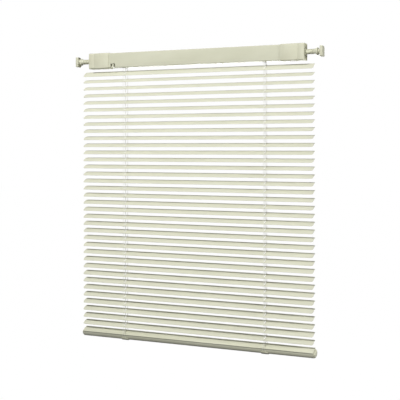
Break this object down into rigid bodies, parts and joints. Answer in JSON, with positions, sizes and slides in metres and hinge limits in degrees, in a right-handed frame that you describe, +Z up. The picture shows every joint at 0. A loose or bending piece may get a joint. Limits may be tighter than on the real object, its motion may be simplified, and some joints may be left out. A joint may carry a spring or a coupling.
{
  "type": "mini blind",
  "caption": "Cordless mini blind with crowned vinyl slats on string ladders, a channel headrail and two tension screw feet that grip a window reveal.",
  "frame": {"origin": "on the common axis of the two tension screws, half-way between the feet", "axes": "+X along the blind to the right-hand foot, -Y towards the room, +Z up"},
  "size_m": [0.7828, 0.0385, 0.86],
  "materials": {
    "headrail_enamel": "satin ivory stove enamel",
    "ivory_plastic": "ivory moulded plastic, faint grain",
    "screw_plastic": "ivory moulded plastic",
    "soft_pad": "soft ivory rubber",
    "mechanism_plastic": "natural nylon",
    "hook_plastic": "ivory acetal",
    "gear_plastic": "natural acetal",
    "rod_steel": "bright drawn steel",
    "motor_plastic": "natural plastic",
    "ladder_cord": "braided polyester",
    "lift_cord": "braided polyester",
    "rail_vinyl": "satin ivory vinyl",
    "slat_vinyl": "satin ivory vinyl"
  },
  "bodies": {
    "root": {"headrail": "headrail_enamel", "left_sleeve": "ivory_plastic", "right_sleeve": "ivory_plastic", "left_end_cap": "ivory_plastic", "right_end_cap": "ivory_plastic", "tilter_housing": "mechanism_plastic", "drum_cradles": "mechanism_plastic", "spring_motor": "motor_plastic", "front_ladder_strings": "ladder_cord", "rear_ladder_strings": "ladder_cord", "lift_cords": "lift_cord"},
    "rod": {"tilt_rod": "rod_steel", "tilt_gear": "gear_plastic", "ladder_drums": "mechanism_plastic"},
    "hook": {"tilter_hook": "hook_plastic"},
    "rail": {"bottom_rail": "rail_vinyl", "rail_end_caps": "ivory_plastic", "ladder_clips": "ivory_plastic"},
    "left_foot_carriage": {"left_foot": "screw_plastic", "left_pad": "soft_pad"},
    "left_screw_shaft": {"left_screw": "screw_plastic"},
    "right_foot_carriage": {"right_foot": "screw_plastic", "right_pad": "soft_pad"},
    "right_screw_shaft": {"right_screw": "screw_plastic"},
    "slat_01": {"slat_01": "slat_vinyl"},
    "slat_02": {"slat_02": "slat_vinyl"},
    "slat_03": {"slat_03": "slat_vinyl"},
    "slat_04": {"slat_04": "slat_vinyl"},
    "slat_05": {"slat_05": "slat_vinyl"},
    "slat_06": {"slat_06": "slat_vinyl"},
    "slat_07": {"slat_07": "slat_vinyl"},
    "slat_08": {"slat_08": "slat_vinyl"},
    "slat_09": {"slat_09": "slat_vinyl"},
    "slat_10": {"slat_10": "slat_vinyl"},
    "slat_11": {"slat_11": "slat_vinyl"},
    "slat_12": {"slat_12": "slat_vinyl"},
    "slat_13": {"slat_13": "slat_vinyl"},
    "slat_14": {"slat_14": "slat_vinyl"},
    "slat_15": {"slat_15": "slat_vinyl"},
    "slat_16": {"slat_16": "slat_vinyl"},
    "slat_17": {"slat_17": "slat_vinyl"},
    "slat_18": {"slat_18": "slat_vinyl"},
    "slat_19": {"slat_19": "slat_vinyl"},
    "slat_20": {"slat_20": "slat_vinyl"},
    "slat_21": {"slat_21": "slat_vinyl"},
    "slat_22": {"slat_22": "slat_vinyl"},
    "slat_23": {"slat_23": "slat_vinyl"},
    "slat_24": {"slat_24": "slat_vinyl"},
    "slat_25": {"slat_25": "slat_vinyl"},
    "slat_26": {"slat_26": "slat_vinyl"},
    "slat_27": {"slat_27": "slat_vinyl"},
    "slat_28": {"slat_28": "slat_vinyl"},
    "slat_29": {"slat_29": "slat_vinyl"},
    "slat_30": {"slat_30": "slat_vinyl"},
    "slat_31": {"slat_31": "slat_vinyl"},
    "slat_32": {"slat_32": "slat_vinyl"},
    "slat_33": {"slat_33": "slat_vinyl"},
    "slat_34": {"slat_34": "slat_vinyl"},
    "slat_35": {"slat_35": "slat_vinyl"},
    "slat_36": {"slat_36": "slat_vinyl"}
  },
  "joints": [
    {"name": "tilt_rod_turn", "type": "hinge", "parent": "root", "child": "rod", "pos_m": [0, 0, -0.006], "axis": [1, 0, 0], "range_deg": [-118.75, 56.25]},
    {"name": "tilter_hook_turn", "type": "hinge", "parent": "root", "child": "hook", "pos_m": [-0.258, -0.00707, -0.0027], "axis": [0, -0.4226, -0.9063], "range_deg": [-1662.5, 787.5]},
    {"name": "slat_01_tilt", "type": "hinge", "parent": "root", "child": "slat_01", "pos_m": [0, 0, -0.0375], "axis": [1, 0, 0], "range_deg": [-76, 36]},
    {"name": "slat_02_tilt", "type": "hinge", "parent": "root", "child": "slat_02", "pos_m": [0, 0, -0.059], "axis": [1, 0, 0], "range_deg": [-95, 45]},
    {"name": "slat_03_tilt", "type": "hinge", "parent": "root", "child": "slat_03", "pos_m": [0, 0, -0.0805], "axis": [1, 0, 0], "range_deg": [-95, 45]},
    {"name": "slat_04_tilt", "type": "hinge", "parent": "root", "child": "slat_04", "pos_m": [0, 0, -0.102], "axis": [1, 0, 0], "range_deg": [-95, 45]},
    {"name": "slat_05_tilt", "type": "hinge", "parent": "root", "child": "slat_05", "pos_m": [0, 0, -0.1235], "axis": [1, 0, 0], "range_deg": [-95, 45]},
    {"name": "slat_06_tilt", "type": "hinge", "parent": "root", "child": "slat_06", "pos_m": [0, 0, -0.145], "axis": [1, 0, 0], "range_deg": [-95, 45]},
    {"name": "slat_07_tilt", "type": "hinge", "parent": "root", "child": "slat_07", "pos_m": [0, 0, -0.1665], "axis": [1, 0, 0], "range_deg": [-95, 45]},
    {"name": "slat_08_tilt", "type": "hinge", "parent": "root", "child": "slat_08", "pos_m": [0, 0, -0.188], "axis": [1, 0, 0], "range_deg": [-95, 45]},
    {"name": "slat_09_tilt", "type": "hinge", "parent": "root", "child": "slat_09", "pos_m": [0, 0, -0.2095], "axis": [1, 0, 0], "range_deg": [-95, 45]},
    {"name": "slat_10_tilt", "type": "hinge", "parent": "root", "child": "slat_10", "pos_m": [0, 0, -0.231], "axis": [1, 0, 0], "range_deg": [-95, 45]},
    {"name": "slat_11_tilt", "type": "hinge", "parent": "root", "child": "slat_11", "pos_m": [0, 0, -0.2525], "axis": [1, 0, 0], "range_deg": [-95, 45]},
    {"name": "slat_12_tilt", "type": "hinge", "parent": "root", "child": "slat_12", "pos_m": [0, 0, -0.274], "axis": [1, 0, 0], "range_deg": [-95, 45]},
    {"name": "slat_13_tilt", "type": "hinge", "parent": "root", "child": "slat_13", "pos_m": [0, 0, -0.2955], "axis": [1, 0, 0], "range_deg": [-95, 45]},
    {"name": "slat_14_tilt", "type": "hinge", "parent": "root", "child": "slat_14", "pos_m": [0, 0, -0.317], "axis": [1, 0, 0], "range_deg": [-95, 45]},
    {"name": "slat_15_tilt", "type": "hinge", "parent": "root", "child": "slat_15", "pos_m": [0, 0, -0.3385], "axis": [1, 0, 0], "range_deg": [-95, 45]},
    {"name": "slat_16_tilt", "type": "hinge", "parent": "root", "child": "slat_16", "pos_m": [0, 0, -0.36], "axis": [1, 0, 0], "range_deg": [-95, 45]},
    {"name": "slat_17_tilt", "type": "hinge", "parent": "root", "child": "slat_17", "pos_m": [0, 0, -0.3815], "axis": [1, 0, 0], "range_deg": [-95, 45]},
    {"name": "slat_18_tilt", "type": "hinge", "parent": "root", "child": "slat_18", "pos_m": [0, 0, -0.403], "axis": [1, 0, 0], "range_deg": [-95, 45]},
    {"name": "slat_19_tilt", "type": "hinge", "parent": "root", "child": "slat_19", "pos_m": [0, 0, -0.4245], "axis": [1, 0, 0], "range_deg": [-95, 45]},
    {"name": "slat_20_tilt", "type": "hinge", "parent": "root", "child": "slat_20", "pos_m": [0, 0, -0.446], "axis": [1, 0, 0], "range_deg": [-95, 45]},
    {"name": "slat_21_tilt", "type": "hinge", "parent": "root", "child": "slat_21", "pos_m": [0, 0, -0.4675], "axis": [1, 0, 0], "range_deg": [-95, 45]},
    {"name": "slat_22_tilt", "type": "hinge", "parent": "root", "child": "slat_22", "pos_m": [0, 0, -0.489], "axis": [1, 0, 0], "range_deg": [-95, 45]},
    {"name": "slat_23_tilt", "type": "hinge", "parent": "root", "child": "slat_23", "pos_m": [0, 0, -0.5105], "axis": [1, 0, 0], "range_deg": [-95, 45]},
    {"name": "slat_24_tilt", "type": "hinge", "parent": "root", "child": "slat_24", "pos_m": [0, 0, -0.532], "axis": [1, 0, 0], "range_deg": [-95, 45]},
    {"name": "slat_25_tilt", "type": "hinge", "parent": "root", "child": "slat_25", "pos_m": [0, 0, -0.5535], "axis": [1, 0, 0], "range_deg": [-95, 45]},
    {"name": "slat_26_tilt", "type": "hinge", "parent": "root", "child": "slat_26", "pos_m": [0, 0, -0.575], "axis": [1, 0, 0], "range_deg": [-95, 45]},
    {"name": "slat_27_tilt", "type": "hinge", "parent": "root", "child": "slat_27", "pos_m": [0, 0, -0.5965], "axis": [1, 0, 0], "range_deg": [-95, 45]},
    {"name": "slat_28_tilt", "type": "hinge", "parent": "root", "child": "slat_28", "pos_m": [0, 0, -0.618], "axis": [1, 0, 0], "range_deg": [-95, 45]},
    {"name": "slat_29_tilt", "type": "hinge", "parent": "root", "child": "slat_29", "pos_m": [0, 0, -0.6395], "axis": [1, 0, 0], "range_deg": [-95, 45]},
    {"name": "slat_30_tilt", "type": "hinge", "parent": "root", "child": "slat_30", "pos_m": [0, 0, -0.661], "axis": [1, 0, 0], "range_deg": [-95, 45]},
    {"name": "slat_31_tilt", "type": "hinge", "parent": "root", "child": "slat_31", "pos_m": [0, 0, -0.6825], "axis": [1, 0, 0], "range_deg": [-95, 45]},
    {"name": "slat_32_tilt", "type": "hinge", "parent": "root", "child": "slat_32", "pos_m": [0, 0, -0.704], "axis": [1, 0, 0], "range_deg": [-95, 45]},
    {"name": "slat_33_tilt", "type": "hinge", "parent": "root", "child": "slat_33", "pos_m": [0, 0, -0.7255], "axis": [1, 0, 0], "range_deg": [-95, 45]},
    {"name": "slat_34_tilt", "type": "hinge", "parent": "root", "child": "slat_34", "pos_m": [0, 0, -0.747], "axis": [1, 0, 0], "range_deg": [-95, 45]},
    {"name": "slat_35_tilt", "type": "hinge", "parent": "root", "child": "slat_35", "pos_m": [0, 0, -0.7685], "axis": [1, 0, 0], "range_deg": [-95, 45]},
    {"name": "slat_36_tilt", "type": "hinge", "parent": "root", "child": "slat_36", "pos_m": [0, 0, -0.79], "axis": [1, 0, 0], "range_deg": [-95, 45]},
    {"name": "bottom_rail_tilt", "type": "hinge", "parent": "root", "child": "rail", "pos_m": [0, 0, -0.8115], "axis": [1, 0, 0], "range_deg": [-71.25, 33.75]},
    {"name": "left_foot_slide", "type": "slide", "parent": "root", "child": "left_foot_carriage", "axis": [-1, 0, 0], "range_m": [-0.02, 0.012]},
    {"name": "left_screw_turn", "type": "hinge", "parent": "left_foot_carriage", "child": "left_screw_shaft", "pos_m": [-0.36, 0, 0], "axis": [-1, 0, 0], "range_deg": [-2880, 1728]},
    {"name": "right_foot_slide", "type": "slide", "parent": "root", "child": "right_foot_carriage", "axis": [1, 0, 0], "range_m": [-0.02, 0.012]},
    {"name": "right_screw_turn", "type": "hinge", "parent": "right_foot_carriage", "child": "right_screw_shaft", "pos_m": [0.36, 0, 0], "axis": [1, 0, 0], "range_deg": [-2880, 1728]}
  ],
  "couplings": [
    {"joint": "tilter_hook_turn", "follows": "tilt_rod_turn", "ratio": 14},
    {"joint": "slat_01_tilt", "follows": "tilt_rod_turn", "ratio": 0.64},
    {"joint": "slat_02_tilt", "follows": "tilt_rod_turn", "ratio": 0.8},
    {"joint": "slat_03_tilt", "follows": "tilt_rod_turn", "ratio": 0.8},
    {"joint": "slat_04_tilt", "follows": "tilt_rod_turn", "ratio": 0.8},
    {"joint": "slat_05_tilt", "follows": "tilt_rod_turn", "ratio": 0.8},
    {"joint": "slat_06_tilt", "follows": "tilt_rod_turn", "ratio": 0.8},
    {"joint": "slat_07_tilt", "follows": "tilt_rod_turn", "ratio": 0.8},
    {"joint": "slat_08_tilt", "follows": "tilt_rod_turn", "ratio": 0.8},
    {"joint": "slat_09_tilt", "follows": "tilt_rod_turn", "ratio": 0.8},
    {"joint": "slat_10_tilt", "follows": "tilt_rod_turn", "ratio": 0.8},
    {"joint": "slat_11_tilt", "follows": "tilt_rod_turn", "ratio": 0.8},
    {"joint": "slat_12_tilt", "follows": "tilt_rod_turn", "ratio": 0.8},
    {"joint": "slat_13_tilt", "follows": "tilt_rod_turn", "ratio": 0.8},
    {"joint": "slat_14_tilt", "follows": "tilt_rod_turn", "ratio": 0.8},
    {"joint": "slat_15_tilt", "follows": "tilt_rod_turn", "ratio": 0.8},
    {"joint": "slat_16_tilt", "follows": "tilt_rod_turn", "ratio": 0.8},
    {"joint": "slat_17_tilt", "follows": "tilt_rod_turn", "ratio": 0.8},
    {"joint": "slat_18_tilt", "follows": "tilt_rod_turn", "ratio": 0.8},
    {"joint": "slat_19_tilt", "follows": "tilt_rod_turn", "ratio": 0.8},
    {"joint": "slat_20_tilt", "follows": "tilt_rod_turn", "ratio": 0.8},
    {"joint": "slat_21_tilt", "follows": "tilt_rod_turn", "ratio": 0.8},
    {"joint": "slat_22_tilt", "follows": "tilt_rod_turn", "ratio": 0.8},
    {"joint": "slat_23_tilt", "follows": "tilt_rod_turn", "ratio": 0.8},
    {"joint": "slat_24_tilt", "follows": "tilt_rod_turn", "ratio": 0.8},
    {"joint": "slat_25_tilt", "follows": "tilt_rod_turn", "ratio": 0.8},
    {"joint": "slat_26_tilt", "follows": "tilt_rod_turn", "ratio": 0.8},
    {"joint": "slat_27_tilt", "follows": "tilt_rod_turn", "ratio": 0.8},
    {"joint": "slat_28_tilt", "follows": "tilt_rod_turn", "ratio": 0.8},
    {"joint": "slat_29_tilt", "follows": "tilt_rod_turn", "ratio": 0.8},
    {"joint": "slat_30_tilt", "follows": "tilt_rod_turn", "ratio": 0.8},
    {"joint": "slat_31_tilt", "follows": "tilt_rod_turn", "ratio": 0.8},
    {"joint": "slat_32_tilt", "follows": "tilt_rod_turn", "ratio": 0.8},
    {"joint": "slat_33_tilt", "follows": "tilt_rod_turn", "ratio": 0.8},
    {"joint": "slat_34_tilt", "follows": "tilt_rod_turn", "ratio": 0.8},
    {"joint": "slat_35_tilt", "follows": "tilt_rod_turn", "ratio": 0.8},
    {"joint": "slat_36_tilt", "follows": "tilt_rod_turn", "ratio": 0.8},
    {"joint": "bottom_rail_tilt", "follows": "tilt_rod_turn", "ratio": 0.6},
    {"joint": "left_screw_turn", "follows": "left_foot_slide", "rad_per_m": 2513.3},
    {"joint": "right_screw_turn", "follows": "right_foot_slide", "rad_per_m": 2513.3}
  ]
}
